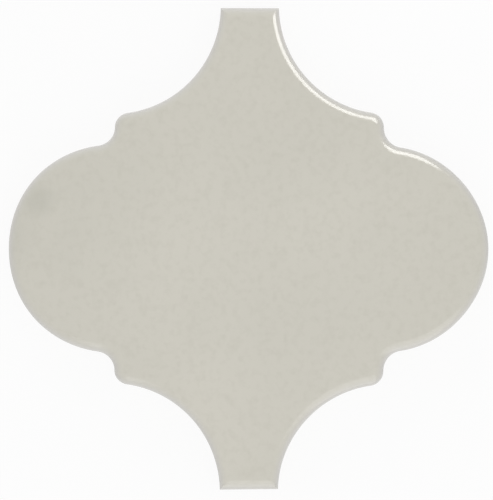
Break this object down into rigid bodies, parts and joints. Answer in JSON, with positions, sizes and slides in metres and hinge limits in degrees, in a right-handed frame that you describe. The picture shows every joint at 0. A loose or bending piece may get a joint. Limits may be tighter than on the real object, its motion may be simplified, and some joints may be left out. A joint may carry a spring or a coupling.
{
  "type": "moroccan arabesque tile",
  "caption": "Glazed wall tile of arabesque outline: round lobes at the sides, flat tips at top and bottom, rounded face edge and keyed back.",
  "frame": {"origin": "centre of the tile's back, which lies on the floor", "axes": "+Z out of the glazed face, +Y through the upper flat tip, +X through the right lobe"},
  "size_m": [0.1194, 0.12, 0.009],
  "materials": {
    "glaze": "glossy warm light grey glaze over a pressed and fired body"
  },
  "bodies": {
    "root": {"tile": "glaze"}
  },
  "joints": []
}
